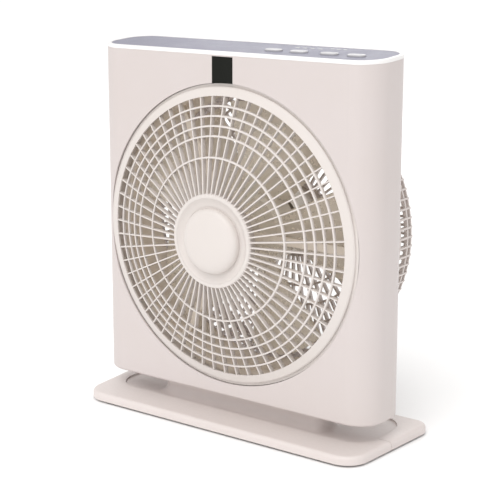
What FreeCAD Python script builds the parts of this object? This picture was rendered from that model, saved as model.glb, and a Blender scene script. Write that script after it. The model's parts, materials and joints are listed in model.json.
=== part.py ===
"""Box fan with a turning louvre wheel on a two-piece foot, as a parametric FreeCAD document.

Axes: X to the right, -Y to the front, +Z up. The origin is on the floor, under the middle of the foot.
Parts on the fan's axis are drawn in a frame whose Z points to the front, measured from the housing's face.
Parts on the sloping top are drawn in a frame whose Z is square to the top and whose origin is its middle.
"""
import FreeCAD, Part
import os
import re
import Sketcher

Vector = FreeCAD.Vector
doc = FreeCAD.newDocument("BoxFan")
sheet = doc.addObject("Spreadsheet::Sheet", "Sizes")
nodes = []
worked = {}

FORWARD = FreeCAD.Rotation(Vector(1, 0, 0), 90)
BACKWARD = FreeCAD.Rotation(Vector(1, 0, 0), -90)


def sizes(values):
    """Write each named size in its own cell of the sheet."""
    first = len(sizes.rows) + 1
    for row, (alias, value) in enumerate(values, first):
        sheet.set("A%d" % row, str(value))
        sheet.setAlias("A%d" % row, alias)
        sizes.rows.append(alias)


sizes.rows = []


def spell(expression):
    """Write out an expression: worked-out names become their own expressions, the rest are cells."""
    def one(match):
        word = match.group(1)
        return "(%s)" % spell(worked[word]) if word in worked else "Sizes." + word
    return re.sub(r"\b([A-Z]\w+)", one, str(expression))


def bind(item, prop, expression):
    """Tie a property to an expression of named sizes."""
    item.setExpression(prop, spell(expression))


def put(item, x=0, y=0, z=0, turn=None):
    """Place an item at expressions of named sizes, turned by a fixed rotation."""
    if turn is not None:
        item.Placement = FreeCAD.Placement(Vector(), turn)
    for axis, value in zip("xyz", (x, y, z)):
        bind(item, "Placement.Base." + axis, value)
    return item


def put_on_axis(item, turn=FORWARD):
    """Place an item drawn in the fan axis frame."""
    return put(item, 0, "FaceY", "AxisHeight", turn)


def put_on_top(item):
    """Place an item drawn in the sloping top frame."""
    turn = FreeCAD.Rotation(Vector(1, 0, 0), 5)
    put(item, 0, "HousingY", "HousingTop + HousingDepth / 2 * tan(TopSlope)", turn)
    bind(item, "Placement.Rotation.Angle", "TopSlope")
    return item


def node(item, label):
    """Name a finished sub-part and list it for export."""
    item.Label = label
    nodes.append(item)
    return item


def box(name, width, depth, height, x=0, y=0, z=0, centred=True):
    """A block whose X and Y middle, or corner, and lowest Z are given."""
    item = doc.addObject("Part::Box", name)
    for prop, value in (("Length", width), ("Width", depth), ("Height", height)):
        bind(item, prop, value)
    if centred:
        x = "(%s) - (%s) / 2" % (x, width)
        y = "(%s) - (%s) / 2" % (y, depth)
    return put(item, x, y, z)


def rod(name, radius, length, x=0, y=0, z=0, turn=None):
    """A cylinder that starts at a point and runs along its own Z."""
    item = doc.addObject("Part::Cylinder", name)
    bind(item, "Radius", radius)
    bind(item, "Height", length)
    return put(item, x, y, z, turn)


def cone(name, low, high, length, x=0, y=0, z=0, turn=None):
    """A truncated cone that starts at a point and runs along its own Z."""
    item = doc.addObject("Part::Cone", name)
    bind(item, "Radius1", low)
    bind(item, "Radius2", high)
    bind(item, "Height", length)
    return put(item, x, y, z, turn)


def ball(name, radius, x=0, y=0, z=0):
    """A sphere about a point."""
    item = doc.addObject("Part::Sphere", name)
    bind(item, "Radius", radius)
    return put(item, x, y, z)


def fuse(name, pieces):
    """One solid from several that touch or overlap."""
    item = doc.addObject("Part::MultiFuse", name)
    item.Shapes = pieces
    return item


def group(name, pieces):
    """Separate solids kept together under one name."""
    item = doc.addObject("Part::Compound", name)
    item.Links = pieces
    return item


def cut(name, base, tools):
    """A base with one tool, or several fused tools, taken out."""
    item = doc.addObject("Part::Cut", name)
    item.Base = base
    item.Tool = tools[0] if len(tools) == 1 else fuse(name + "Tools", tools)
    return item


def common(name, first, second):
    """What two shapes share."""
    item = doc.addObject("Part::Common", name)
    item.Base = first
    item.Tool = second
    return item


def outline(owner, name, points):
    """A closed polygon in a sketch, each corner held at two expressions from the sketch's origin."""
    sketch = (owner.newObject if owner else doc.addObject)("Sketcher::SketchObject", name)
    count = len(points)
    for corner in range(count):
        start = Vector(corner, corner * corner, 0)
        end = Vector((corner + 1) % count, ((corner + 1) % count) ** 2, 0)
        sketch.addGeometry(Part.LineSegment(start, end))
    for corner in range(count):
        sketch.addConstraint(Sketcher.Constraint("Coincident", corner, 2, (corner + 1) % count, 1))
    for corner, point in enumerate(points):
        for kind, value in zip(("DistanceX", "DistanceY"), point):
            index = sketch.addConstraint(Sketcher.Constraint(kind, -1, 1, corner, 1, 1.0))
            bind(sketch, "Constraints[%d]" % index, value)
    return sketch


def attach(sketch, body, plane):
    """Lay a sketch on one of its own body's origin planes."""
    planes = {feature.Role: feature for feature in body.Origin.OriginFeatures}
    sketch.AttachmentSupport = [(planes[plane], "")]
    sketch.MapMode = "FlatFace"
    return sketch


def body(name):
    """An empty body that may hold loose rings until its spokes join them."""
    item = doc.addObject("PartDesign::Body", name)
    item.AllowCompound = True
    return item


def turned(owner, name, points):
    """A ring turned about the body's Z axis from a profile of radius and height."""
    sketch = attach(outline(owner, name + "Profile", points), owner, "XZ_Plane")
    ring = owner.newObject("PartDesign::Revolution", name)
    ring.Profile = sketch
    ring.ReferenceAxis = (sketch, ["V_Axis"])
    ring.Angle = 360
    return ring


def spokes(owner, name, points, thickness, count, half_step=False):
    """Ribs repeated about the body's Z axis from one profile of radius and height."""
    sketch = attach(outline(owner, name + "Profile", points), owner, "XZ_Plane")
    if half_step:
        sketch.AttachmentOffset = FreeCAD.Placement(Vector(), FreeCAD.Rotation(Vector(0, 1, 0), 5))
        bind(sketch, "AttachmentOffset.Rotation.Angle", "180 / (%s)" % count)
    rib = owner.newObject("PartDesign::Pad", name + "One")
    rib.Profile = sketch
    rib.SideType = "Symmetric"
    bind(rib, "Length", thickness)
    planes = {feature.Role: feature for feature in owner.Origin.OriginFeatures}
    ribs = owner.newObject("PartDesign::PolarPattern", name)
    ribs.Originals = [rib]
    ribs.Axis = (planes["Z_Axis"], [""])
    ribs.Angle = 360
    bind(ribs, "Occurrences", count)
    owner.Tip = ribs
    return ribs


def edges(feature, keep):
    """Names of the feature's edges that a test on their two ends picks."""
    doc.recompute()
    found = []
    for number, edge in enumerate(feature.Shape.Edges, 1):
        if keep(edge.BoundBox):
            found.append("Edge%d" % number)
    return found


def round_edges(owner, name, feature, keep, radius):
    """Fillet the picked edges of a feature."""
    fillet = owner.newObject("PartDesign::Fillet", name)
    fillet.Base = (feature, edges(feature, keep))
    bind(fillet, "Radius", radius)
    owner.Tip = fillet
    return fillet


def slab(name, width, depth, height, corner, x=0, y=0, z=0, rear_width=None, rear_corner=None):
    """A body holding a block with rounded upright corners, standing on its XY plane."""
    owner = body(name)
    front = "(%s) / 2" % width
    rear = "(%s) / 2" % (rear_width or width)
    half = "(%s) / 2" % depth
    corners = [("-" + front, "-" + half), (front, "-" + half), (rear, half), ("-" + rear, half)]
    sketch = attach(outline(owner, name + "Plan", corners), owner, "XY_Plane")
    pad = owner.newObject("PartDesign::Pad", name + "Pad")
    pad.Profile = sketch
    bind(pad, "Length", height)
    if rear_corner is None:
        round_edges(owner, name + "Corners", pad, lambda b: b.ZLength > 0.5, corner)
    else:
        rounded = round_edges(owner, name + "Corners", pad, lambda b: b.ZLength > 0.5 and b.YMax < 0, corner)
        round_edges(owner, name + "RearCorners", rounded,
                    lambda b: b.ZLength > 0.5 and b.YMin > 0 and b.XLength < 0.01, rear_corner)
    return put(owner, x, y, z)


def oval(name, length, width, height, x=0, y=0, z=0):
    """A block with half-round ends."""
    middle = box(name + "Middle", "(%s) - (%s)" % (length, width), width, height, x, y, z)
    reach = "((%s) - (%s)) / 2" % (length, width)
    ends = [rod(name + side, "(%s) / 2" % width, height, "(%s) %s %s" % (x, sign, reach), y, z)
            for side, sign in (("Left", "-"), ("Right", "+"))]
    return fuse(name, [middle] + ends)


# ---------------------------------------------------------------- housing sizes
sizes([
    ("HousingWidth", 360), ("HousingDepth", 76), ("HousingHeight", 374), ("HousingLift", 32),
    ("HousingSetForward", 12.85), ("HousingCorner", 30), ("HousingWall", 2.6), ("HousingEdge", 2.5),
    ("TopSlope", 3.8), ("RearShellDepth", 6), ("AxisLift", 178), ("OpeningRadius", 163.5),
    ("CoverThick", 4), ("CoverRim", 4.2), ("PanelThick", 1.4), ("PanelGap", 0.2), ("PanelSunk", 0.3),
    ("WindowWidth", 27), ("WindowOffset", -5), ("WindowDrop", 5), ("WindowFlange", 2.5), ("SnugGap", 0.15),
])
# foot
sizes([
    ("FootFrontWidth", 362), ("FootRearWidth", 384), ("FootDepth", 142), ("FootHeight", 11),
    ("FootSetBack", 2.5), ("FootFrontCorner", 26), ("FootRearCorner", 15), ("FootEdge", 4),
    ("FootClear", 2), ("FootSkin", 2.6), ("SeamSetBack", -2), ("FootSeamGap", 0.5), ("RecessWidth", 340),
    ("RecessDepth", 88), ("RecessSetBack", 15.5), ("RecessCorner", 30), ("RecessSunk", 2),
    ("NeckWidth", 218), ("NeckDepth", 30), ("NeckCorner", 13), ("NeckFlare", 9), ("PadHeight", 4),
    ("PadRadius", 11), ("PadInset", 26),
])
# louvre wheel
sizes([
    ("LouvreGap", 3.5), ("LouvreBand", 9.5), ("LouvreSkirt", 14.5), ("LouvreWall", 2.6), ("BandRise", 3.6),
    ("BandEdge", 1.2), ("LipSet", 2.8), ("LipThick", 1.2), ("LipReach", 3.1), ("SpokeSunk", 0.4),
    ("HubRadius", 50.5), ("HubRise", 27), ("HubRecess", 3.4), ("HubLip", 4.5),
    ("SpokeThick", 1.4), ("SpokeDepth", 6), ("SpokeCount", 60), ("RingWide", 1.8), ("RingDeep", 3),
    ("CapRadius", 35), ("CapRise", 6), ("CapWall", 1.8), ("StubRadius", 4), ("RunningGap", 0.05),
    ("HubBoss", 9), ("EndFloat", 0.5), ("RetainerRadius", 5.5), ("RetainerHead", 2.2), ("ScrewRadius", 1.6),
])
# air duct and its spider
sizes([
    ("DuctRadius", 151), ("DuctWall", 2.4), ("DuctFront", 18), ("SpiderDepth", 4), ("SpiderWide", 9),
    ("SpiderBoss", 14), ("DuctFlange", 7),
])
# louvre drive
sizes([
    ("RollerRadius", 7.5), ("RollerGap", 0.35), ("RollerWide", 7), ("RollerSet", 6), ("DriveAngle", 36),
    ("DriveShaft", 2.5), ("DriveMotorRadius", 24), ("DriveMotorDeep", 18), ("DriveOffset", 11.5),
    ("DriveMotorSet", 18), ("DriveEar", 28.5), ("DriveEarRadius", 5), ("DriveEarThick", 1.5),
    ("EarScrewBite", 8), ("DriveShaftEnd", 0.3),
])
# fan rotor and motor
sizes([
    ("BladeRadius", 141), ("BladeCount", 5), ("BladeHub", 42), ("BladeHubFront", 40), ("BladeHubDeep", 30),
    ("BladeRootHalf", 24), ("BladeTipHalf", 74), ("BladeRootCamber", 4), ("BladeTipCamber", 9),
    ("BladeRootPitch", 37), ("BladeTipPitch", 17), ("BladeThick", 2.4), ("ShaftRadius", 4),
    ("MotorRadius", 39), ("MotorDeep", 46), ("MotorWall", 1.4), ("MotorSplit", 23), ("BushRadius", 9),
    ("BushLong", 8), ("RotorRadius", 22), ("AirGap", 0.5), ("StackDeep", 20), ("SpinnerRadius", 15),
    ("SpinnerLong", 12),
])
# rear guard
sizes([
    ("GuardRadius", 158), ("GuardDeep", 54), ("GuardBar", 5), ("GuardBend", 10), ("GuardPlate", 46),
    ("GuardPlateThick", 4), ("GuardRibThick", 2.2), ("GuardRibCount", 48), ("GuardFlange", 8),
    ("GuardFlangeThick", 3), ("GuardWire", 2.6), ("GuardSunk", 0.4), ("GuardCorner", 0.6),
    ("RearOpening", 150),
])
# controls
sizes([
    ("ButtonLong", 20.5), ("ButtonWide", 11.5), ("ButtonProud", 1.4), ("ButtonTravel", 1.2),
    ("ButtonGap", 0.4), ("ButtonFlange", 1.4), ("ButtonFlangeThick", 1.2), ("StemRadius", 3),
    ("SwitchHigh", 4), ("PlungerRadius", 1.7), ("PostRadius", 3.5), ("BoardThread", 1.1),
    ("BoardHeadRadius", 2.6), ("BoardHeadHigh", 1.8), ("BoardScrewLong", 7), ("ButtonLineY", -9),
    ("BoardWide", 150), ("BoardDeep", 46), ("BoardThick", 1.6), ("BoardSunk", 15), ("BoardX", 92),
    ("LightLong", 5), ("LightWide", 2.4), ("LightProud", 0.15), ("SwitchSide", 6),
])
# gaps, screws and small parts
sizes([
    ("CoverEdge", 1.2), ("CapEdge", 1.2), ("HubBack", 4), ("RingPitch", 10.3), ("RingInnerSet", 63),
    ("HeadRadius", 3.5), ("HeadHigh", 2.2), ("BossRadius", 5), ("BossX", 140), ("BossZ", 166),
    ("ShellScrewLong", 22), ("PlateBite", 1.6), ("WallBite", 2), ("NeckScrewX", 60), ("NeckScrewY", 8),
    ("HousingBoss", 12), ("JoinerX", 100), ("JoinerWide", 40), ("JoinerDeep", 36), ("JoinerThick", 1.8),
    ("GlandX", -118), ("GlandZ", 58), ("GlandRadius", 6.5), ("GlandBore", 3.3), ("GlandFlange", 9.5),
    ("GlandProud", 3), ("CapacitorX", -100), ("CapacitorZ", 56), ("CapacitorWide", 38),
    ("CapacitorDeep", 18), ("CapacitorHigh", 26), ("ReceiverWide", 43), ("ReceiverHigh", 18),
    ("ReceiverSet", 9), ("ReceiverPost", 2.2), ("ReceiverThread", 1), ("ReceiverEye", 2.8), ("EyeDrop", 16),
    ("ReceiverDrop", 7), ("PlungerGap", 0.3), ("CapacitorFoot", 7), ("CoilBend", 2), ("CoilHigh", 7),
    ("CoilGap", 3), ("GlandLong", 6),
])
# worked out from the sizes above, used by several pieces
worked.update({
    "HousingY": "-HousingSetForward",
    "FaceY": "HousingY - HousingDepth / 2",
    "BackY": "HousingY + HousingDepth / 2",
    "HousingTop": "HousingLift + HousingHeight",
    "AxisHeight": "HousingLift + AxisLift",
    "FootY": "HousingY + FootSetBack",
    "RecessY": "HousingY + RecessSetBack",
    "FootSeam": "RecessY - RecessDepth / 2",
    "RecessFloor": "FootHeight - RecessSunk",
    "FootCeiling": "RecessFloor - FootSkin",
    "LouvreRadius": "OpeningRadius - LouvreGap",
    "BandInner": "LouvreRadius - LouvreBand",
    "HubFloor": "HubRise - HubRecess",
    "RollerReach": "LouvreRadius + RollerGap + RollerRadius",
    "RollerX": "RollerReach * cos(DriveAngle)",
    "RollerZ": "-RollerReach * sin(DriveAngle)",
    "DriveX": "(RollerReach + DriveOffset) * cos(DriveAngle)",
    "DriveZ": "-(RollerReach + DriveOffset) * sin(DriveAngle)",
    "GuardFace": "HousingDepth + GuardDeep - GuardPlateThick",
    "ButtonFoot": "-CoverThick - 3",
    "CapCurve": "(CapRadius ^ 2 + CapRise ^ 2) / (2 * CapRise)",
    "EyeZ": "HousingTop - WindowDrop - EyeDrop - AxisHeight",
    "ButtonUnder": "-CoverThick - ButtonGap",
})
doc.recompute()

BUTTON_X = (40, 71.5, 108.5, 140.5)
LIGHT_ROWS = ((52, 9.3, 4, 18), (91.5, 7.8, 3, 23))
GUARD_RINGS = (1, 0.78, 0.56, 0.34)


def axis_rod(name, radius, low, high, x=0, z=0):
    """A cylinder parallel to the fan's axis between two distances ahead of the housing's face."""
    length = "(%s) - (%s)" % (high, low)
    return rod(name, radius, length, x, "FaceY - (%s)" % low, "AxisHeight + (%s)" % z, FORWARD)


def axis_screw(name, x, z, seat, tip, backward=True):
    """A screw parallel to the fan's axis whose head stands on its seat."""
    low, high = ("%s - HeadHigh" % seat, seat) if backward else (seat, "%s + HeadHigh" % seat)
    head = axis_rod(name + "Head", "HeadRadius", low, high, x, z)
    low, high = (seat, tip) if backward else (tip, seat)
    return fuse(name, [head, axis_rod(name + "Shank", "ScrewRadius", low, high, x, z)])


def ring_of(count, radius, start=0):
    """Expressions for X and Z of points spread round the fan's axis."""
    for step in range(count):
        angle = start + 360 * step / count
        yield "(%s) * cos(%g)" % (radius, angle), "(%s) * sin(%g)" % (radius, angle)


def corners_of(x, z):
    """The four sign combinations of a pair of expressions."""
    for side in ("", "-"):
        for level in ("", "-"):
            yield "%s(%s)" % (side, x), "%s(%s)" % (level, z)


# ---------------------------------------------------------------- foot
def level(sketch, height):
    """Raise a sketch above its plane by an expression."""
    bind(sketch, "AttachmentOffset.Base.z", height)
    return sketch


def rectangle(owner, name, width, depth, x=0, y=0):
    """A rectangle sketch about a point."""
    sides = ["(%s) %s (%s) / 2" % (x, sign, width) for sign in "-+"]
    ends = ["(%s) %s (%s) / 2" % (y, sign, depth) for sign in "-+"]
    points = [(sides[0], ends[0]), (sides[1], ends[0]), (sides[1], ends[1]), (sides[0], ends[1])]
    return attach(outline(owner, name, points), owner, "XY_Plane")


def make_foot():
    """Flat foot, wider behind, with a shallow recess and a flared neck, in a front and a rear piece."""
    foot = slab("Foot", "FootFrontWidth", "FootDepth", "FootHeight - FootClear", "FootFrontCorner", 0, "FootY",
                "FootClear", "FootRearWidth", "FootRearCorner")
    top = sheet.FootHeight - sheet.FootClear
    floor = top - sheet.RecessSunk
    round_edges(foot, "FootRim", foot.Tip, lambda b: b.ZMin > top - 0.01, "FootEdge")
    recess = foot.newObject("PartDesign::Pocket", "Recess")
    recess.Profile = level(rectangle(foot, "RecessPlan", "RecessWidth", "RecessDepth", 0,
                                     "RecessSetBack - FootSetBack"), "FootHeight - FootClear")
    bind(recess, "Length", "RecessSunk")
    round_edges(foot, "RecessCorners", recess,
                lambda b: b.ZLength > 1 and b.XLength < 0.01 and b.YLength < 0.01 and b.ZMin > floor - 0.01,
                "RecessCorner")
    neck = foot.newObject("PartDesign::Pad", "Neck")
    neck.Profile = level(rectangle(foot, "NeckPlan", "NeckWidth", "NeckDepth", 0, "-FootSetBack"),
                         "RecessFloor - FootClear")
    bind(neck, "Length", "HousingLift - RecessFloor")
    corners = round_edges(foot, "NeckCorners", neck,
                          lambda b: b.ZMax > top + 1 and b.ZLength > 1, "NeckCorner")
    half_width = sheet.NeckWidth / 2 + 0.5
    round_edges(foot, "NeckFlareEdge", corners,
                lambda b: abs(b.ZMin - floor) < 0.01 and abs(b.ZMax - floor) < 0.01
                and b.XMax < half_width and b.XMin > -half_width, "NeckFlare")
    whole = cut("FootWhole", foot, foot_hollows())
    edge = "FootSeamGap / 2"
    ahead = box("AheadOfSeam", "FootRearWidth * 2", "FootDepth", "HousingTop", 0,
                "HousingY + SeamSetBack - %s - FootDepth / 2" % edge, -5)
    behind = box("BehindSeam", "FootRearWidth * 2", "FootDepth", "HousingTop", 0,
                 "HousingY + SeamSetBack + %s + FootDepth / 2" % edge, -5)
    outside = slab("RecessOutside", "RecessWidth + FootSeamGap", "RecessDepth + FootSeamGap", "HousingTop",
                   "RecessCorner + %s" % edge, 0, "RecessY", -5)
    inside = slab("RecessInside", "RecessWidth - FootSeamGap", "RecessDepth - FootSeamGap", "HousingTop",
                  "RecessCorner - %s" % edge, 0, "RecessY", -5)
    node(common("FootFront", whole, cut("FrontRegion", ahead, [outside])), "foot_front")
    node(common("FootRear", whole, fuse("RearRegion", [behind, inside])), "foot_rear")
    node(group("FootPads", [rod("FootPad%d" % n, "PadRadius", "PadHeight", x, y, 0)
                            for n, (x, y) in enumerate(pad_places())]), "rubber_pads")
    make_foot_fixings()


def foot_hollows():
    """What is taken out of the foot: its underside, the neck's inside, pad sockets and screw holes."""
    bosses = [rod("PadBoss%d" % n, "PadRadius + FootSkin", "FootHeight", x, y, 0)
              for n, (x, y) in enumerate(pad_places())]
    hollow = slab("FootHollow", "FootFrontWidth - 2 * FootSkin", "FootDepth - 2 * FootSkin",
                  "FootCeiling - FootClear + 1", "FootFrontCorner - FootSkin", 0, "FootY", "FootClear - 1",
                  "FootRearWidth - 2 * FootSkin", "FootRearCorner - FootSkin")
    columns = [rod("NeckColumn%d" % n, "HeadRadius + 1", "HousingLift", x, "HousingY + (%s)" % y, "FootCeiling")
               for n, (x, y) in enumerate(corners_of("NeckScrewX", "NeckScrewY"))]
    inside = slab("NeckHollow", "NeckWidth - 2 * FootSkin", "NeckDepth - 2 * FootSkin",
                  "HousingLift - FootSkin - FootCeiling + 1", "NeckCorner - FootSkin", 0, "HousingY",
                  "FootCeiling - 1")
    sockets = [rod("PadSocket%d" % n, "PadRadius + SnugGap", "PadHeight", x, y, 0)
               for n, (x, y) in enumerate(pad_places())]
    holes = [rod("NeckHole%d" % n, "ScrewRadius + RunningGap", "HousingLift", x, "HousingY + (%s)" % y, 1)
             for n, (x, y) in enumerate(corners_of("NeckScrewX", "NeckScrewY"))]
    holes += [rod("JoinHole%d" % n, "ScrewRadius", "FootCeiling + PlateBite", x, "FootSeam + (%s)" % y, 0)
              for n, (x, y) in enumerate(corners_of("JoinerX", "JoinerDeep / 4"))]
    return [cut("FootUnder", hollow, bosses), cut("NeckInside", inside, columns)] + sockets + holes


def make_foot_fixings():
    """Plates and screws that join the foot's two pieces, and the screws up through the neck."""
    joiners = []
    for side, x in (("Left", "-JoinerX"), ("Right", "JoinerX")):
        plate = box("JoinerPlate" + side, "JoinerWide", "JoinerDeep", "JoinerThick", x, "FootSeam",
                    "FootCeiling - JoinerThick")
        drills = [rod("JoinerDrill%s%d" % (side, n), "ScrewRadius + RunningGap", "FootHeight", x,
                      "FootSeam %s JoinerDeep / 4" % way, 0) for n, way in enumerate("-+")]
        joiners.append(cut("Joiner" + side, plate, drills))
    node(group("FootJoiners", joiners), "foot_joiners")
    node(group("JoinerScrews", [up_screw("JoinerScrew%d" % n, x, "FootSeam + (%s)" % y,
                                         "FootCeiling - JoinerThick", "FootCeiling + PlateBite")
                                for n, (x, y) in enumerate(corners_of("JoinerX", "JoinerDeep / 4"))]),
         "joiner_screws")
    node(group("NeckScrews", [up_screw("NeckScrew%d" % n, x, "HousingY + (%s)" % y,
                                       "FootCeiling", "HousingLift + HousingBoss - 1")
                              for n, (x, y) in enumerate(corners_of("NeckScrewX", "NeckScrewY"))]),
         "neck_screws")


def pad_places():
    """Where the floor pads sit: four corners and the middle of each long side."""
    y = "(FootDepth / 2 - PadInset)"
    for sign in ("-", ""):
        yield "%s(FootFrontWidth / 2 - PadInset)" % sign, "FootY - " + y
        yield "%s(FootRearWidth / 2 - PadInset)" % sign, "FootY + " + y
    yield "0", "FootY - " + y
    yield "0", "FootY + " + y


def up_screw(name, x, y, seat, tip):
    """An upright screw whose head hangs below its seat."""
    head = rod(name + "Head", "HeadRadius", "HeadHigh", x, y, "%s - HeadHigh" % seat)
    return fuse(name, [head, rod(name + "Shank", "ScrewRadius", "(%s) - (%s)" % (tip, seat), x, y, seat)])


# ---------------------------------------------------------------- housing
def top_cutter():
    """Everything above the underside of the top cover."""
    item = box("AboveHousing", "HousingWidth * 2", "HousingDepth * 2", "HousingHeight", centred=False)
    put(item, "-HousingWidth", "FaceY - 10 * cos(TopSlope) + CoverThick * sin(TopSlope)",
        "HousingTop - 10 * sin(TopSlope) - CoverThick * cos(TopSlope)", FreeCAD.Rotation(Vector(1, 0, 0), 5))
    bind(item, "Placement.Rotation.Angle", "TopSlope")
    return item


def make_housing():
    """Front shell with the louvre opening and rear shell with the guard opening."""
    tall = "HousingHeight + HousingDepth * tan(TopSlope)"
    outer = slab("HousingOuter", "HousingWidth", "HousingDepth", tall, "HousingCorner", 0, "HousingY",
                 "HousingLift")
    round_edges(outer, "HousingUnderEdge", outer.Tip, lambda b: b.ZMax < 0.01, "HousingEdge")
    inner = slab("HousingInner", "HousingWidth - 2 * HousingWall", "HousingDepth - 2 * HousingWall", tall,
                 "HousingCorner - HousingWall", 0, "HousingY", "HousingLift + HousingWall")
    bosses = [axis_rod("ShellBoss%d" % n, "BossRadius", "-HousingDepth + HousingWall", "-HousingWall / 2", x, z)
              for n, (x, z) in enumerate(corners_of("BossX", "BossZ"))]
    bosses += [rod("NeckBoss%d" % n, "BossRadius", "HousingBoss - 1", x, "HousingY + (%s)" % y,
                   "HousingLift + 1")
               for n, (x, y) in enumerate(corners_of("NeckScrewX", "NeckScrewY"))]
    bosses += [axis_rod("EarBoss%d" % n, "DriveEarRadius", "-DriveMotorSet", "-HousingWall / 2", x, z)
               for n, (x, z) in enumerate(ear_places())]
    bosses += [axis_rod("ReceiverPost%d" % n, "ReceiverPost", "-ReceiverSet", "-HousingWall / 2", x, z)
               for n, (x, z) in enumerate(receiver_places())]
    holes = [axis_rod("ShellHole%d" % n, "ScrewRadius", "-HousingDepth - 1",
                      "-HousingDepth + ShellScrewLong + 2", x, z)
             for n, (x, z) in enumerate(corners_of("BossX", "BossZ"))]
    holes += [rod("NeckThread%d" % n, "ScrewRadius", "HousingBoss", x, "HousingY + (%s)" % y, "HousingLift - 1")
              for n, (x, y) in enumerate(corners_of("NeckScrewX", "NeckScrewY"))]
    holes += [axis_rod("EarHole%d" % n, "ScrewRadius", "-DriveMotorSet - 1",
                       "-DriveMotorSet + EarScrewBite + 1", x, z)
              for n, (x, z) in enumerate(ear_places())]
    holes += [axis_rod("ReceiverHole%d" % n, "ReceiverThread", "-ReceiverSet - 1", "-ReceiverSet + 5", x, z)
              for n, (x, z) in enumerate(receiver_places())]
    shell = common("HousingShell", fuse("HousingInside", [cut("HousingWalls", outer, [inner])] + bosses), outer)
    above = top_cutter()
    split = "BackY - RearShellDepth"
    behind = box("BehindSplit", "HousingWidth * 2", "HousingDepth", "HousingHeight * 2",
                 0, "%s + HousingDepth / 2" % split, -5)
    front_opening = axis_rod("FrontOpening", "OpeningRadius", "-LouvreSkirt - 1.5", 2)
    window = box("WindowHole", "WindowWidth", "HousingWall * 3", "HousingTop - WindowDrop - AxisHeight",
                 "WindowOffset", "FaceY", "AxisHeight")
    node(cut("FrontHousing", shell, [above, behind, front_opening, window] + holes), "front_housing")
    ahead = box("AheadOfSplit", "HousingWidth * 2", "HousingDepth * 2", "HousingHeight * 2",
                0, "%s - HousingDepth" % split, -5)
    through = ("-HousingDepth - 2", "-HousingDepth + HousingWall + 2")
    rear_opening = axis_rod("RearHole", "RearOpening", *through)
    gland = axis_rod("GlandHole", "GlandRadius", *through, "GlandX", "GlandZ - AxisHeight")
    walls = cut("RearWalls", cut("HousingWallsAgain", outer, [inner]), [above, ahead, rear_opening, gland])
    wall_inside = "-HousingDepth + HousingWall + 1"
    screw_holes = [axis_rod("RearShellHole%d" % n, "ScrewRadius + RunningGap", "-HousingDepth - 1",
                            wall_inside, x, z)
                   for n, (x, z) in enumerate(corners_of("BossX", "BossZ"))]
    for label, places in (("DuctHole", duct_screw_places()), ("GuardHole", guard_screw_places())):
        screw_holes += [axis_rod("%s%d" % (label, n), "ScrewRadius", "-HousingDepth - 1", wall_inside, x, z)
                        for n, (x, z) in enumerate(places)]
    node(cut("RearCover", walls, screw_holes), "rear_cover")
    node(group("ShellScrews", [axis_screw("ShellScrew%d" % n, x, z, "-HousingDepth",
                                          "-HousingDepth + ShellScrewLong")
                               for n, (x, z) in enumerate(corners_of("BossX", "BossZ"))]), "shell_screws")


def ear_places():
    """The two fixing ears of the louvre motor, across the line from the fan's axis."""
    for sign in "+-":
        yield ("DriveX %s DriveEar * sin(DriveAngle)" % sign, "DriveZ %s DriveEar * cos(DriveAngle)" % sign)


def receiver_places():
    """The two posts that carry the receiver board."""
    for sign in "-+":
        yield ("WindowOffset %s (ReceiverWide / 2 - 2.5)" % sign, "EyeZ")


def duct_screw_places():
    return ring_of(4, "DuctRadius + DuctWall + DuctFlange / 2", 20)


def guard_screw_places():
    return ring_of(6, "GuardRadius + GuardFlange / 2 + 1", 30)


def make_window():
    """Dark window above the louvre opening and the receiver board behind it."""
    low = "AxisHeight + OpeningRadius - 5"
    high = "HousingTop - WindowDrop - SnugGap"
    plate = box("WindowPlate", "WindowWidth - 2 * SnugGap", "HousingWall + 0.2", "%s - (%s)" % (high, low),
                "WindowOffset", "FaceY + HousingWall / 2 + 0.1", low)
    flange = box("WindowFlangePlate", "WindowWidth + 2 * WindowFlange", 1,
                 "%s + WindowFlange - 4 - (%s)" % (high, low), "WindowOffset", "FaceY + HousingWall + 0.5", low)
    trim = axis_rod("WindowTrim", "OpeningRadius", -10, 5)
    node(cut("DisplayWindow", fuse("WindowBody", [plate, flange]), [trim]), "display_window")
    board = box("ReceiverPlate", "ReceiverWide", "BoardThick", "ReceiverHigh", "WindowOffset",
                "FaceY + ReceiverSet + BoardThick / 2", "HousingTop - WindowDrop - ReceiverDrop - ReceiverHigh")
    eye = axis_rod("ReceiverEyeRod", "ReceiverEye", "-ReceiverSet", "-ReceiverSet + 4", "WindowOffset", "EyeZ")
    holes = [axis_rod("ReceiverDrill%d" % n, "ReceiverThread", "-ReceiverSet - 4", "-ReceiverSet + 1", x, z)
             for n, (x, z) in enumerate(receiver_places())]
    node(cut("ReceiverBoard", fuse("ReceiverBody", [board, eye]), holes), "receiver_board")


# ---------------------------------------------------------------- top and controls
def button_gap(name, x, extra, low, high):
    """The oval hole that a button passes through."""
    return oval(name, "ButtonLong + 2 * (%s)" % extra, "ButtonWide + 2 * (%s)" % extra,
                "(%s) - (%s)" % (high, low), x, "ButtonLineY", low)


def light_places():
    """X and Y of each indicator light."""
    for first, pitch, count, y in LIGHT_ROWS:
        for step in range(count):
            yield first + pitch * step, y


def board_corners():
    """X and Y of the four posts that carry the control board."""
    for x, y in corners_of("BoardWide / 2 - 5", "BoardDeep / 2 - 5"):
        yield "BoardX + (%s)" % x, y


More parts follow.
